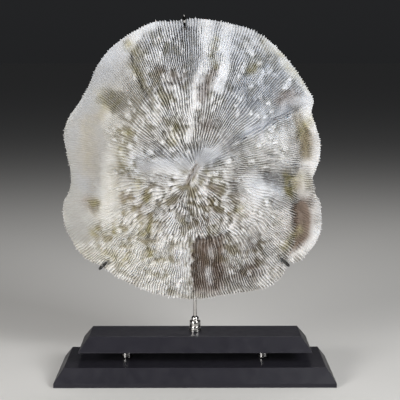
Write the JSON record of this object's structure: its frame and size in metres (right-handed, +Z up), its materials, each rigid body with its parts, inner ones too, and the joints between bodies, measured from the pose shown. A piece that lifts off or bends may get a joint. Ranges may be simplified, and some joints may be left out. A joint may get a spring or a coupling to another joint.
{
  "type": "mushroom coral on a stand",
  "caption": "Lobed, domed mushroom coral skeleton with fine radial ridges, held upright by wire claws on a thin rod over a stepped black stand, for display.",
  "frame": {"origin": "centre of the lower tier's underside, on the surface that the stand rests on", "axes": "+Z up along the rod, the coral's ridged face looks along -Y, +X to the right of someone facing it"},
  "size_m": [0.212, 0.0705, 0.2756],
  "materials": {
    "aragonite": "matt, porous, cream white with olive brown in the grooves",
    "black_paint": "satin",
    "nickel": "polished"
  },
  "bodies": {
    "root": {"coral": "aragonite", "claw_top": "nickel", "claw_left": "nickel", "claw_right": "nickel", "hub": "nickel", "rod": "nickel", "ferrule": "nickel", "upper_tier": "black_paint", "lower_tier": "black_paint", "standoff_left": "nickel", "standoff_right": "nickel"}
  },
  "joints": []
}
